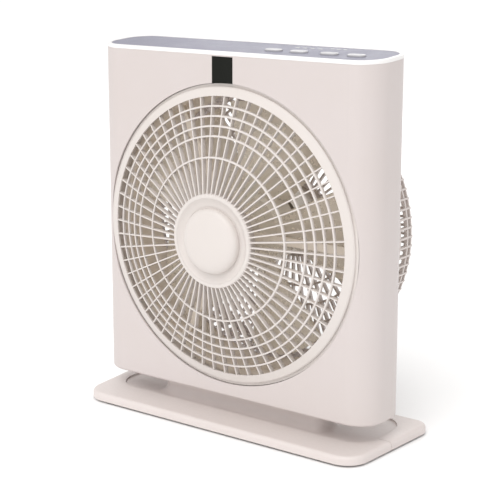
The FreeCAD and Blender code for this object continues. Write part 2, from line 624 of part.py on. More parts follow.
def make_top():
    """White top cover, its inset panel, four buttons and the board below them."""
    cover = slab("TopSlab", "HousingWidth", "HousingDepth", "CoverThick", "HousingCorner", 0, 0, "-CoverThick")
    thick = sheet.CoverThick
    round_edges(cover, "TopEdge", cover.Tip, lambda b: b.ZMin > thick - 0.01, "CoverEdge")
    panel_low = "-(PanelThick + PanelSunk)"
    recess = slab("PanelSeat", "HousingWidth - 2 * CoverRim", "HousingDepth - 2 * CoverRim", "CoverThick",
                  "HousingCorner - CoverRim", 0, 0, panel_low)
    posts = [rod("BoardPost%d" % n, "PostRadius", "BoardSunk - CoverThick + 0.5", x, y, "-BoardSunk")
             for n, (x, y) in enumerate(board_corners())]
    gaps = [button_gap("CoverSlot%d" % n, x, "ButtonGap", "-CoverThick - 1", 2) for n, x in enumerate(BUTTON_X)]
    slots = [box("LightSlot%d" % n, "LightLong + 2 * SnugGap", "LightWide + 2 * SnugGap", "CoverThick + 3",
                 x, y, "-CoverThick - 1") for n, (x, y) in enumerate(light_places())]
    threads = [rod("BoardThread%d" % n, "BoardThread", "BoardScrewLong + 1", x, y, "-BoardSunk - 0.5")
               for n, (x, y) in enumerate(board_corners())]
    put_on_top(node(cut("TopCover", fuse("TopBody", [cover] + posts), [recess] + gaps + slots + threads),
                    "top_cover"))
    sheet_body = slab("PanelSlab", "HousingWidth - 2 * CoverRim - 2 * PanelGap",
                      "HousingDepth - 2 * CoverRim - 2 * PanelGap", "PanelThick",
                      "HousingCorner - CoverRim - PanelGap", 0, 0, panel_low)
    put_on_top(node(cut("ControlPanel", sheet_body, gaps + slots), "control_panel"))
    for n, x in enumerate(BUTTON_X):
        make_button(n, x)
    lights = [box("Light%d" % n, "LightLong", "LightWide", "CoverThick + 8 + LightProud - PanelSunk", x, y,
                  "-CoverThick - 8") for n, (x, y) in enumerate(light_places())]
    put_on_top(node(group("IndicatorLights", lights), "indicator_lights"))
    make_board()


def make_button(number, x):
    """One oval button: cap, flange that stops it under the cover, and stem."""
    foot = "ButtonUnder - ButtonFlangeThick"
    cap = oval("Cap%d" % number, "ButtonLong", "ButtonWide", "ButtonProud - (%s)" % foot, x, "ButtonLineY",
               foot)
    flange = button_gap("CapFlange%d" % number, x, "ButtonFlange", foot, "ButtonUnder")
    stem = rod("CapStem%d" % number, "StemRadius", "(%s) - ButtonFoot + 0.5" % foot, x, "ButtonLineY",
               "ButtonFoot")
    put_on_top(node(fuse("Button%d" % number, [cap, flange, stem]), "button_%d" % (number + 1)))


def make_board():
    """Control board on its posts, with one key switch under each button."""
    plate = box("BoardPlate", "BoardWide", "BoardDeep", "BoardThick", "BoardX", 0, "-BoardSunk - BoardThick")
    drills = [rod("BoardDrill%d" % n, "BoardThread + 0.1", "BoardThick * 3", x, y,
                  "-BoardSunk - BoardThick * 2")
              for n, (x, y) in enumerate(board_corners())]
    put_on_top(node(cut("ControlBoard", plate, drills), "control_board"))
    under = "-BoardSunk - BoardThick"
    screws = []
    for n, (x, y) in enumerate(board_corners()):
        head = rod("BoardHead%d" % n, "BoardHeadRadius", "BoardHeadHigh", x, y, under + " - BoardHeadHigh")
        shank = rod("BoardShank%d" % n, "BoardThread", "BoardScrewLong", x, y, under)
        screws.append(fuse("BoardScrew%d" % n, [head, shank]))
    put_on_top(node(group("BoardScrews", screws), "board_screws"))
    keys = []
    for n, x in enumerate(BUTTON_X):
        case = box("KeyCase%d" % n, "SwitchSide", "SwitchSide", "SwitchHigh", x, "ButtonLineY", "-BoardSunk")
        reach = "BoardSunk + ButtonFoot - ButtonTravel - PlungerGap"
        plunger = rod("KeyPlunger%d" % n, "PlungerRadius", reach, x, "ButtonLineY", "-BoardSunk")
        keys.append(fuse("Key%d" % n, [case, plunger]))
    put_on_top(node(group("KeySwitches", keys), "key_switches"))


# ---------------------------------------------------------------- louvre wheel
def face_height(radius):
    """How far the louvre's coned face stands ahead of the housing at a radius."""
    span = "(BandInner - HubRadius)"
    return "BandRise + (HubRise - BandRise) * (BandInner - (%s)) / %s" % (radius, span)


def make_louvre():
    """Coned wheel of thin spokes and rings that turns to sweep the air."""
    wheel = body("LouvreWheel")
    turned(wheel, "Band", [
        ("BandInner", "BandRise"), ("LouvreRadius - BandEdge", "BandEdge / 2"),
        ("LouvreRadius", "-BandEdge / 2"), ("LouvreRadius", "-LipSet"), ("LouvreRadius + LipReach", "-LipSet"),
        ("LouvreRadius + LipReach", "-LipSet - LipThick"), ("LouvreRadius", "-LipSet - LipThick"),
        ("LouvreRadius", "-LouvreSkirt"), ("LouvreRadius - LouvreWall", "-LouvreSkirt"),
        ("LouvreRadius - LouvreWall", "-LouvreWall"), ("BandInner", "BandRise - LouvreWall"),
    ])
    rings = ["BandInner - %d * RingPitch" % step for step in range(1, 5)] + ["BandInner - RingInnerSet"]
    for number, middle in enumerate(rings):
        inner = "%s - RingWide / 2" % middle
        outer = "%s + RingWide / 2" % middle
        turned(wheel, "Ring%d" % number, [
            (inner, face_height(inner)), (outer, face_height(outer)),
            (outer, face_height(outer) + " - RingDeep"), (inner, face_height(inner) + " - RingDeep"),
        ])
    turned(wheel, "Hub", [
        ("HubRadius", "HubRise - 1.6"), ("HubRadius - 1", "HubRise"), ("HubRadius - HubLip", "HubRise"),
        ("HubRadius - HubLip - 1", "HubFloor"), ("StubRadius + RunningGap", "HubFloor"),
        ("StubRadius + RunningGap", "HubBack"), ("HubBoss", "HubBack"), ("HubBoss", "HubFloor - LouvreWall"),
        ("HubRadius - LouvreWall", "HubFloor - LouvreWall"),
        ("HubRadius - LouvreWall", "HubRise - SpokeDepth - 4"), ("HubRadius", "HubRise - SpokeDepth - 4"),
    ])
    start = "HubRadius - LouvreWall / 2"
    end = "BandInner + LouvreBand / 3"
    spokes(wheel, "Spokes", [
        (start, "%s - SpokeSunk" % face_height(start)), (end, "%s - SpokeSunk" % face_height(end)),
        (end, "%s - SpokeDepth" % face_height(end)), (start, "%s - SpokeDepth" % face_height(start)),
    ], "SpokeThick", "SpokeCount")
    put_on_axis(node(wheel, "louvre_wheel"))
    make_cap()


def make_cap():
    """Domed cap over the hub, the fixed stub shaft and the screw that keeps the wheel on it."""
    centre = "HubFloor + CapEdge + CapRise - CapCurve"
    disc = rod("CapDisc", "CapRadius", 20, 0, 0, "HubFloor")
    dome = common("CapDome", disc, ball("CapBall", "CapCurve", 0, 0, centre))
    hollow = common("CapHollow", rod("CapBore", "CapRadius - CapWall", 20, 0, 0, "HubFloor - 1"),
                    ball("CapInner", "CapCurve - CapWall", 0, 0, centre))
    put_on_axis(node(cut("LouvreCap", dome, [hollow]), "louvre_cap"))
    stub = cut("Stub", axis_rod("StubRod", "StubRadius", "-DuctFront - SpiderDepth", "HubFloor + EndFloat"),
               [axis_rod("StubThread", "ScrewRadius", "HubFloor - 10", "HubFloor + 2")])
    node(stub, "louvre_stub_shaft")
    seat = "HubFloor + EndFloat"
    head = axis_rod("RetainerHeadDisc", "RetainerRadius", seat, seat + " + RetainerHead")
    shank = axis_rod("RetainerShank", "ScrewRadius", "HubFloor - 9", seat)
    node(fuse("Retainer", [head, shank]), "louvre_retaining_screw")


def make_drive():
    """Small motor beside the duct whose rubber roller turns the louvre by its skirt."""
    roller = cut("RollerTyre", axis_rod("RollerDisc", "RollerRadius", "-RollerSet - RollerWide", "-RollerSet",
                                        "RollerX", "RollerZ"),
                 [axis_rod("RollerBore", "DriveShaft", -50, 5, "RollerX", "RollerZ")])
    node(roller, "drive_roller")
    node(axis_rod("RollerShaft", "DriveShaft", "-DriveMotorSet - 4", "-RollerSet + DriveShaftEnd", "RollerX",
                  "RollerZ"),
         "drive_shaft")
    case = axis_rod("DriveCase", "DriveMotorRadius", "-DriveMotorSet - DriveMotorDeep", "-DriveMotorSet",
                    "DriveX", "DriveZ")
    ears = [axis_rod("DriveEar%d" % n, "DriveEarRadius", "-DriveMotorSet - DriveEarThick",
                     "-DriveMotorSet", x, z)
            for n, (x, z) in enumerate(ear_places())]
    holes = [axis_rod("DriveEarHole%d" % n, "ScrewRadius + RunningGap", -40, 0, x, z)
             for n, (x, z) in enumerate(ear_places())]
    holes.append(axis_rod("DriveBore", "DriveShaft + RunningGap", "-DriveMotorSet - 5", 0, "RollerX",
                          "RollerZ"))
    node(cut("DriveMotor", fuse("DriveBody", [case] + ears), holes), "louvre_motor")
    node(group("DriveScrews", [axis_screw("DriveScrew%d" % n, x, z, "-DriveMotorSet - DriveEarThick",
                                          "-DriveMotorSet + EarScrewBite")
                               for n, (x, z) in enumerate(ear_places())]), "louvre_motor_screws")


def make_duct():
    """Ring round the fan with a three-armed spider that carries the louvre's stub shaft."""
    duct = body("AirDuct")
    back = "-(HousingDepth - HousingWall)"
    outer = "DuctRadius + DuctWall"
    turned(duct, "DuctRing", [
        ("DuctRadius", "-DuctFront"), (outer, "-DuctFront"), (outer, back + " + 3"),
        (outer + " + DuctFlange", back + " + 3"), (outer + " + DuctFlange", back), ("DuctRadius", back),
    ])
    turned(duct, "DuctBoss", [
        ("StubRadius", "-DuctFront - SpiderDepth"), ("SpiderBoss", "-DuctFront - SpiderDepth"),
        ("SpiderBoss", "-DuctFront"), ("HubBoss", "HubBack - EndFloat"), ("StubRadius", "HubBack - EndFloat"),
    ])
    inner = "SpiderBoss - 3"
    reach = "DuctRadius + DuctWall / 2"
    spokes(duct, "Arms", [(inner, "-DuctFront"), (reach, "-DuctFront"), (reach, "-DuctFront - SpiderDepth"),
                          (inner, "-DuctFront - SpiderDepth")], "SpiderWide", "3")
    put_on_axis(duct)
    fitted = common("DuctFitted", duct, doc.HousingInner)
    holes = [axis_rod("DuctDrill%d" % n, "ScrewRadius + RunningGap", back, back + " + 5", x, z)
             for n, (x, z) in enumerate(duct_screw_places())]
    node(cut("Duct", fitted, holes), "air_duct")
    node(group("DuctScrews", [axis_screw("DuctScrew%d" % n, x, z, back + " + 3", back + " - 2", backward=False)
                              for n, (x, z) in enumerate(duct_screw_places())]), "duct_screws")


# ---------------------------------------------------------------- fan and motor
def blade_section(name, radius, half, camber, pitch, middle):
    """A cambered blade section across the radius, as a closed ten-sided outline."""
    stations = (-1, -0.5, 0, 0.5, 1)
    points = []
    for side, order in ((0, stations), (1, stations[::-1])):
        for share in order:
            along = "%g * %s" % (share, half)
            rise = "(%s * %g - %d * BladeThick)" % (camber, 1 - share * share, side)
            points.append(("%s * cos(%s) - %s * sin(%s)" % (along, pitch, rise, pitch),
                           "%s * sin(%s) + %s * cos(%s) + (%s)" % (along, pitch, rise, pitch, middle)))
    sketch = outline(None, name, points)
    return put(sketch, radius, 0, 0, FreeCAD.Rotation(Vector(1, 1, 1), 120))


def make_impeller():
    """Five-bladed fan with its hub cup, held on the motor shaft by a spinner."""
    middle = "-(BladeHubFront + BladeHubDeep / 2)"
    root = blade_section("BladeRoot", "BladeHub - 6", "BladeRootHalf", "BladeRootCamber", "BladeRootPitch",
                         middle)
    tip = blade_section("BladeTip", "BladeRadius + 3", "BladeTipHalf", "BladeTipCamber", "BladeTipPitch",
                        middle)
    blades = []
    for number in range(int(sheet.BladeCount)):
        blade = doc.addObject("Part::Loft", "Blade%d" % number)
        blade.Sections = [root, tip]
        blade.Solid = True
        blade.Ruled = True
        blade.Placement.Rotation = FreeCAD.Rotation(Vector(0, 0, 1), 72)
        bind(blade, "Placement.Rotation.Angle", "360 / BladeCount * %d" % number)
        blades.append(blade)
    swept = common("BladesTrimmed", fuse("Blades", blades),
                   rod("BladeSweep", "BladeRadius", 200, 0, 0, -200))
    front = "-BladeHubFront"
    back = "-(BladeHubFront + BladeHubDeep)"
    cup = body("BladeCup")
    turned(cup, "BladeCupRing", [
        ("ShaftRadius", front), ("BladeHub - 4", front), ("BladeHub", front + " - 4"), ("BladeHub", back),
        ("BladeHub - BladeThick", back), ("BladeHub - BladeThick", front + " - BladeThick - 3"),
        ("BushRadius", front + " - BladeThick - 1"), ("BushRadius", back + " + 6"),
        ("ShaftRadius", back + " + 6"),
    ])
    clear = rod("BladeCupInside", "BladeHub - BladeThick", "BladeHubDeep - BladeThick - 1", 0, 0, back + " - 2")
    put_on_axis(node(fuse("Impeller", [cut("BladesCut", swept, [clear]), cup]), "fan_blade"))
    spinner = cone("SpinnerCone", "SpinnerRadius", "SpinnerRadius / 2", "SpinnerLong", 0, 0, front)
    bore = rod("SpinnerBore", "ShaftRadius", "SpinnerLong", 0, 0, front + " - 3")
    put_on_axis(node(cut("Spinner", spinner, [bore]), "spinner_nut"))


def make_motor():
    """Motor on the guard's middle plate: two cans, stator, windings, rotor, shaft and two bushes."""
    back = "-GuardFace"
    split = back + " + MotorSplit"
    front = back + " + MotorDeep"
    inside = "MotorRadius - MotorWall"
    for label, end, joint, sign in (("motor_rear_can", back, split + " - 0.1", "+"),
                                    ("motor_front_can", front, split + " + 0.1", "-")):
        can = body(label.title().replace("_", ""))
        boss = "%s %s (MotorWall + BushLong)" % (end, sign)
        wall = "%s %s MotorWall" % (end, sign)
        turned(can, label + "_cup", [
            ("ShaftRadius + 1", end), ("MotorRadius", end), ("MotorRadius", joint), (inside, joint),
            (inside, wall), ("BushRadius + 2", wall), ("BushRadius + 2", boss), ("BushRadius", boss),
            ("BushRadius", wall), ("ShaftRadius + 1", wall),
        ])
        if sign == "+":
            put_on_axis(can)
            threads = [axis_rod("CanThread%d" % n, "ScrewRadius", back + " - 1", back + " + 5", x, z)
                       for n, (x, z) in enumerate(motor_screw_places())]
            can = cut("RearCan", can, threads)
            node(can, label)
        else:
            put_on_axis(node(can, label))
        bush = body("Bush" + label.split("_")[1].title())
        turned(bush, "bush_" + label, [
            ("ShaftRadius + RunningGap", wall), ("BushRadius", wall),
            ("BushRadius", boss), ("ShaftRadius + RunningGap", boss)])
        put_on_axis(node(bush, label.replace("can", "bush")))
    stack = body("StatorStack")
    turned(stack, "StatorRing", [
        ("RotorRadius + AirGap", split + " - StackDeep / 2"), (inside, split + " - StackDeep / 2"),
        (inside, split + " + StackDeep / 2"), ("RotorRadius + AirGap", split + " + StackDeep / 2")])
    put_on_axis(node(stack, "stator_core"))
    coils = []
    for number, sign in enumerate("-+"):
        coil = body("Coil%d" % number)
        base = "%s %s StackDeep / 2" % (split, sign)
        turned(coil, "CoilRing%d" % number, [
            ("RotorRadius + CoilGap", base), (inside + " - CoilBend", base),
            (inside + " - CoilBend", base + " %s (CoilHigh - CoilBend)" % sign),
            (inside + " - 2 * CoilBend", base + " %s CoilHigh" % sign),
            ("RotorRadius + CoilGap + CoilBend", base + " %s CoilHigh" % sign),
            ("RotorRadius + CoilGap", base + " %s (CoilHigh - CoilBend)" % sign)])
        coils.append(coil)
    put_on_axis(node(group("Windings", coils), "stator_windings"))
    core = body("RotorCore")
    turned(core, "RotorRing", [
        ("ShaftRadius", split + " - StackDeep / 2"), ("RotorRadius", split + " - StackDeep / 2"),
        ("RotorRadius", split + " + StackDeep / 2"), ("ShaftRadius", split + " + StackDeep / 2")])
    put_on_axis(node(core, "rotor_core"))
    node(axis_rod("MotorShaft", "ShaftRadius", back + " + MotorWall + 0.6",
                  "-BladeHubFront + SpinnerLong - 3.5"), "motor_shaft")
    node(group("MotorScrews", [axis_screw("MotorScrew%d" % n, x, z, back + " - GuardPlateThick", back + " + 4")
                               for n, (x, z) in enumerate(motor_screw_places())]), "motor_screws")


def motor_screw_places():
    return ring_of(4, "MotorRadius * 0.7", 45)


# ---------------------------------------------------------------- rear guard and electrics
def guard_ring(share):
    """Radius of a ring on the guard's back, as a share of the way from its plate to its bend."""
    return "GuardPlate + (GuardRadius - GuardBend - 2 - GuardPlate) * %g" % share


def make_guard():
    """Basket guard of bent ribs and rings, with the plate that carries the motor."""
    guard = body("RearGuard")
    side = "GuardRadius - GuardBar"
    deep = "GuardDeep"
    turned(guard, "GuardFlangeRing", [
        (side + " - 1", "0"), ("GuardRadius + GuardFlange", "0"),
        ("GuardRadius + GuardFlange", "GuardFlangeThick"), (side + " - 1", "GuardFlangeThick")])
    for number, height in enumerate(("GuardDeep * 0.33", "GuardDeep * 0.62")):
        turned(guard, "GuardSide%d" % number, [
            (side + " + GuardSunk", height), ("GuardRadius - GuardSunk", height),
            ("GuardRadius - GuardSunk", height + " + GuardWire"),
            (side + " + GuardSunk", height + " + GuardWire")])
    turned(guard, "GuardCornerRing", [
        (side + " - GuardSunk", deep + " - GuardBend - GuardBar / 2"),
        ("GuardRadius - GuardCorner", deep + " - GuardBend - GuardBar / 2"),
        ("GuardRadius - GuardCorner", deep + " - GuardBend - GuardCorner"),
        ("GuardRadius - GuardBar / 2 - GuardCorner", deep + " - GuardBend + GuardBar / 2 - GuardCorner"),
        (side + " - GuardSunk", deep + " - GuardBend + GuardBar / 2 - GuardCorner")])
    for number, share in enumerate(GUARD_RINGS):
        middle = guard_ring(share)
        turned(guard, "GuardRing%d" % number, [
            (middle + " - GuardWire / 2", deep + " - GuardSunk - GuardWire"),
            (middle + " + GuardWire / 2", deep + " - GuardSunk - GuardWire"),
            (middle + " + GuardWire / 2", deep + " - GuardSunk"),
            (middle + " - GuardWire / 2", deep + " - GuardSunk")])
    turned(guard, "GuardPlateDisc", [
        ("0", deep), ("0", deep + " - GuardPlateThick"), ("GuardPlate", deep + " - GuardPlateThick"),
        ("GuardPlate", deep)])
    for name, end, half_step in (("GuardRibs", "GuardPlate - 2", False),
                                 ("GuardShortRibs", guard_ring(GUARD_RINGS[2]), True)):
        spokes(guard, name, [
            (side, "0.5"), ("GuardRadius", "0.5"), ("GuardRadius", deep + " - GuardBend"),
            ("GuardRadius - GuardBend", deep + " - 0.2"), (end, deep + " - 0.2"), (end, deep + " - GuardBar"),
            ("GuardRadius - GuardBend - 2", deep + " - GuardBar"), (side, deep + " - GuardBend - 2")],
            "GuardRibThick", "GuardRibCount", half_step)
    put(guard, 0, "BackY", "AxisHeight", BACKWARD)
    holes = [axis_rod("GuardDrill%d" % n, "ScrewRadius + RunningGap", "-HousingDepth - GuardFlangeThick - 1",
                      "-HousingDepth + 1", x, z) for n, (x, z) in enumerate(guard_screw_places())]
    holes += [axis_rod("PlateDrill%d" % n, "ScrewRadius + RunningGap", "-GuardFace - GuardPlateThick - 1",
                       "-GuardFace + 1", x, z) for n, (x, z) in enumerate(motor_screw_places())]
    node(cut("Guard", guard, holes), "rear_guard")
    seat = "-HousingDepth - GuardFlangeThick"
    tip = "-HousingDepth + HousingWall + WallBite"
    node(group("GuardScrews", [axis_screw("GuardScrew%d" % n, x, z, seat, tip)
                               for n, (x, z) in enumerate(guard_screw_places())]), "guard_screws")


def make_electrics():
    """Cord inlet in the rear cover and the motor's run capacitor."""
    z = "GlandZ - AxisHeight"
    back = "-HousingDepth"
    flange = axis_rod("GlandCollar", "GlandFlange", back + " - GlandProud", back, "GlandX", z)
    barrel = axis_rod("GlandBarrel", "GlandRadius - SnugGap", back, back + " + HousingWall + GlandLong",
                      "GlandX", z)
    hole = axis_rod("GlandThrough", "GlandBore", back + " - 10", back + " + 20", "GlandX", z)
    node(cut("Gland", fuse("GlandBody", [flange, barrel]), [hole]), "cord_inlet")
    case = box("CapacitorCase", "CapacitorWide", "CapacitorDeep", "CapacitorHigh", "CapacitorX",
               "HousingY - 10", "CapacitorZ - 10")
    foot = box("CapacitorFootPlate", "CapacitorWide + 2 * CapacitorFoot", "CapacitorDeep", 2, "CapacitorX",
               "HousingY - 10", "HousingLift + HousingWall")
    stem = box("CapacitorStem", "CapacitorWide / 2", "CapacitorDeep / 2", "CapacitorZ - HousingLift - 10",
               "CapacitorX", "HousingY - 10", "HousingLift + HousingWall + 1")
    node(fuse("Capacitor", [case, foot, stem]), "run_capacitor")


def check_and_export():
    """Recompute, stop on any failed feature, and write one STEP file for each sub-part."""
    doc.recompute()
    for item in doc.Objects:
        if "Invalid" in item.State or "Error" in item.State:
            raise RuntimeError("%s did not build: %s" % (item.Name, item.State))
    os.makedirs("parts", exist_ok=True)
    for item in nodes:
        shape = item.Shape
        if shape.isNull() or not shape.isValid() or not shape.Solids:
            raise RuntimeError("%s has no valid solid" % item.Label)
        shape.exportStep("parts/%s.step" % item.Label)
        print("%-24s %2d solids %9.1f mm3" % (item.Label, len(shape.Solids), shape.Volume))


make_foot()
make_housing()
make_window()
make_top()
make_louvre()
make_drive()
make_duct()
make_impeller()
make_motor()
make_guard()
make_electrics()
check_and_export()
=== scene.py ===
import bpy
import bmesh
import json
import math
from mathutils import Matrix, Vector


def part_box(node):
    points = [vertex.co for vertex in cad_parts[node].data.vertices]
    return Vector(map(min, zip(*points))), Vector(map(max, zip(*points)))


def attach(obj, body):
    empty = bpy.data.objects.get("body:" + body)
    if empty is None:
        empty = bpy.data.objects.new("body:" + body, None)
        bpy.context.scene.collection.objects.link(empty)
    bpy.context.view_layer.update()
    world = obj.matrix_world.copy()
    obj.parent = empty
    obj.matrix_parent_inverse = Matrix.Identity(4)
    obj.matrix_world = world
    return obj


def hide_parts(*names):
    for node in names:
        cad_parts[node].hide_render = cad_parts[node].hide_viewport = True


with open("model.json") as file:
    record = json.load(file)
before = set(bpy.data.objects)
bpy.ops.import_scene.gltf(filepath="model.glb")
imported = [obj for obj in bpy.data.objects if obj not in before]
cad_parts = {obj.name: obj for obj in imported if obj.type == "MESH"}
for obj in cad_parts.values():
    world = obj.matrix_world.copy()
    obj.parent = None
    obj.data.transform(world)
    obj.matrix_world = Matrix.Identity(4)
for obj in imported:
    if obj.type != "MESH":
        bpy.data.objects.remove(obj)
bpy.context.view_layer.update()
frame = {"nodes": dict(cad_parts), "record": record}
nodes = frame["nodes"]
weldGap = 0.000001      # points closer than this become one
sameLevel = 0.0001      # points this near the outermost one lie on the same face
print("frame loaded:", len(nodes), "nodes")


# shader helpers

def addNode(tree, kind, place, **values):
    node = tree.nodes.new(kind)
    node.location = place
    for key, value in values.items():
        setattr(node, key, value)
    return node


def setInputs(node, values):
    for key, value in values.items():
        node.inputs[key].default_value = value
    return node


def newGroup(name, inputs, outputs):
    tree = bpy.data.node_groups.new(name, "ShaderNodeTree")
    for label, kind, value in inputs:
        socket = tree.interface.new_socket(name=label, in_out="INPUT", socket_type=kind)
        socket.default_value = value
    for label, kind in outputs:
        tree.interface.new_socket(name=label, in_out="OUTPUT", socket_type=kind)
    start = addNode(tree, "NodeGroupInput", (-900, 0))
    end = addNode(tree, "NodeGroupOutput", (900, 0))
    return tree, start, end


def mixColour(tree, place, blend, factor, first, second):
    node = addNode(tree, "ShaderNodeMix", place, data_type="RGBA", blend_type=blend)
    for index, value in ((0, factor), (6, first), (7, second)):
        if hasattr(value, "links"):
            tree.links.new(value, node.inputs[index])
        else:
            node.inputs[index].default_value = value
    return node.outputs[2]


def mapRange(tree, place, value, low, high, toLow, toHigh):
    node = addNode(tree, "ShaderNodeMapRange", place)
    tree.links.new(value, node.inputs["Value"])
    for label, number in (("From Min", low), ("From Max", high), ("To Min", toLow), ("To Max", toHigh)):
        if hasattr(number, "links"):
            tree.links.new(number, node.inputs[label])
        else:
            node.inputs[label].default_value = number
    return node.outputs["Result"]


def noise(tree, place, vector, scale, detail=3.0, rough=0.5):
    node = addNode(tree, "ShaderNodeTexNoise", place)
    tree.links.new(vector, node.inputs["Vector"])
    if hasattr(scale, "links"):
        tree.links.new(scale, node.inputs["Scale"])
    else:
        node.inputs["Scale"].default_value = scale
    setInputs(node, {"Detail": detail, "Roughness": rough})
    return node.outputs["Fac"]


# noises as scale, detail and roughness; ranges as the low and high ends that count
mouldedMarks = {
    "slow": (9.0, 4.0, 0.55), "smear": (34.0, 5.0, 0.62), "speck": (260.0, 2.0, 0.6), "pebble": (2.0, 0.5),
    "slowRange": (0.35, 0.7), "smearRange": (0.3, 0.75), "speckRange": (0.42, 0.68), "upRange": (0.25, 0.95),
    "thinDust": 0.25, "dustRoughness": 0.35,
}


# moulded skin: slow tone drift, fine pebble, handling smudges and dust on what faces up
def buildMouldedSkin():
    tree, start, end = newGroup("mouldedSkin", [
        ("Colour", "NodeSocketColor", (0.8, 0.8, 0.8, 1)),
        ("Aged Colour", "NodeSocketColor", (0.8, 0.78, 0.7, 1)),
        ("Dust Colour", "NodeSocketColor", (0.6, 0.58, 0.54, 1)),
        ("Drift", "NodeSocketFloat", 0.3),
        ("Dust", "NodeSocketFloat", 0.2),
        ("Roughness", "NodeSocketFloat", 0.4),
        ("Smudge", "NodeSocketFloat", 0.08),
        ("Pebble Scale", "NodeSocketFloat", 1400.0),
    ], [("Colour", "NodeSocketColor"), ("Roughness", "NodeSocketFloat"), ("Height", "NodeSocketFloat")])
    link = tree.links.new
    place = addNode(tree, "ShaderNodeTexCoord", (-900, -300)).outputs["Object"]
    slow = noise(tree, (-600, 300), place, *mouldedMarks["slow"])
    smear = noise(tree, (-600, 0), place, *mouldedMarks["smear"])
    pebble = noise(tree, (-600, -300), place, start.outputs["Pebble Scale"], *mouldedMarks["pebble"])
    speck = noise(tree, (-600, -600), place, *mouldedMarks["speck"])
    driftMask = mapRange(tree, (-380, 300), slow, *mouldedMarks["slowRange"],
                         0.0, start.outputs["Drift"])
    aged = mixColour(tree, (-150, 300), "MIX", driftMask, start.outputs["Colour"], start.outputs["Aged Colour"])
    facing = addNode(tree, "ShaderNodeNewGeometry", (-600, -850)).outputs["Normal"]
    split = addNode(tree, "ShaderNodeSeparateXYZ", (-400, -850))
    link(facing, split.inputs["Vector"])
    upward = mapRange(tree, (-200, -850), split.outputs["Z"], *mouldedMarks["upRange"],
                      0.0, start.outputs["Dust"])
    specks = mapRange(tree, (-380, -600), speck, *mouldedMarks["speckRange"],
                      mouldedMarks["thinDust"], 1.0)
    dust = addNode(tree, "ShaderNodeMath", (20, -700), operation="MULTIPLY")
    link(upward, dust.inputs[0])
    link(specks, dust.inputs[1])
    dusted = mixColour(tree, (250, 200), "MIX", dust.outputs[0], aged, start.outputs["Dust Colour"])
    link(dusted, end.inputs["Colour"])
    smudges = mapRange(tree, (-380, 0), smear, *mouldedMarks["smearRange"], 0.0, start.outputs["Smudge"])
    rough = addNode(tree, "ShaderNodeMath", (100, -50), operation="ADD")
    link(start.outputs["Roughness"], rough.inputs[0])
    link(smudges, rough.inputs[1])
    rougher = addNode(tree, "ShaderNodeMath", (300, -100), operation="MULTIPLY_ADD")
    link(dust.outputs[0], rougher.inputs[0])
    rougher.inputs[1].default_value = mouldedMarks["dustRoughness"]
    link(rough.outputs[0], rougher.inputs[2])
    link(rougher.outputs[0], end.inputs["Roughness"])
    link(pebble, end.inputs["Height"])
    return tree


metalMarks = {
    "fine": (1.0, 2.0, 0.5), "patches": (120.0, 4.0, 0.6), "fineRange": (0.3, 0.7), "patchRange": (0.35, 0.7),
}


# metal skin: tone patches and fine turning or drawing marks along one direction
def buildMetalSkin():
    tree, start, end = newGroup("metalSkin", [
        ("Colour", "NodeSocketColor", (0.6, 0.6, 0.6, 1)),
        ("Dull Colour", "NodeSocketColor", (0.4, 0.4, 0.4, 1)),
        ("Marks", "NodeSocketVector", (900.0, 60.0, 900.0)),
        ("Roughness", "NodeSocketFloat", 0.3),
        ("Spread", "NodeSocketFloat", 0.15),
    ], [("Colour", "NodeSocketColor"), ("Roughness", "NodeSocketFloat"), ("Height", "NodeSocketFloat")])
    link = tree.links.new
    place = addNode(tree, "ShaderNodeTexCoord", (-900, -300)).outputs["Object"]
    stretch = addNode(tree, "ShaderNodeVectorMath", (-650, -200), operation="MULTIPLY")
    link(place, stretch.inputs[0])
    link(start.outputs["Marks"], stretch.inputs[1])
    marks = noise(tree, (-400, -200), stretch.outputs["Vector"], *metalMarks["fine"])
    patches = noise(tree, (-400, 200), place, *metalMarks["patches"])
    tone = mapRange(tree, (-150, 200), patches, *metalMarks["patchRange"], 0.0, 1.0)
    link(mixColour(tree, (150, 200), "MIX", tone, start.outputs["Colour"], start.outputs["Dull Colour"]),
         end.inputs["Colour"])
    spread = mapRange(tree, (-150, -50), marks, *metalMarks["fineRange"], 0.0, start.outputs["Spread"])
    rough = addNode(tree, "ShaderNodeMath", (150, -50), operation="ADD")
    link(start.outputs["Roughness"], rough.inputs[0])
    link(spread, rough.inputs[1])
    link(rough.outputs[0], end.inputs["Roughness"])
    link(marks, end.inputs["Height"])
    return tree


mouldedSkin = buildMouldedSkin()
metalSkin = buildMetalSkin()


def colour(red, green, blue):
    # red, green and blue from 0 to 255, made linear
    def linear(value):
        value = value / 255
        return value / 12.92 if value <= 0.04045 else ((value + 0.055) / 1.055) ** 2.4
    return (linear(red), linear(green), linear(blue), 1.0)


edgeSamples = 4


def skinMaterial(name, skin, skinInputs, shaderInputs, bump, depth=0.0002, edge=0.0):
    # bump is the relief's strength and depth its height; edge is the radius that softens sharp corners
    material = bpy.data.materials.new(name)
    material.use_nodes = True
    tree = material.node_tree
    shader = tree.nodes["Principled BSDF"]
    shader.location = (300, 0)
    setInputs(shader, shaderInputs)
    group = addNode(tree, "ShaderNodeGroup", (-300, 0), node_tree=skin)
    setInputs(group, skinInputs)
    relief = addNode(tree, "ShaderNodeBump", (0, -250))
    setInputs(relief, {"Strength": bump, "Distance": depth})
    tree.links.new(group.outputs["Height"], relief.inputs["Height"])
    if edge:
        rounded = addNode(tree, "ShaderNodeBevel", (-250, -450), samples=edgeSamples)
        rounded.inputs["Radius"].default_value = edge
        tree.links.new(rounded.outputs["Normal"], relief.inputs["Normal"])
    tree.links.new(group.outputs["Colour"], shader.inputs["Base Color"])
    tree.links.new(group.outputs["Roughness"], shader.inputs["Roughness"])
    tree.links.new(relief.outputs["Normal"], shader.inputs["Normal"])
    material.diffuse_color = skinInputs["Colour"]
    return material


print("shader groups built")

# materials

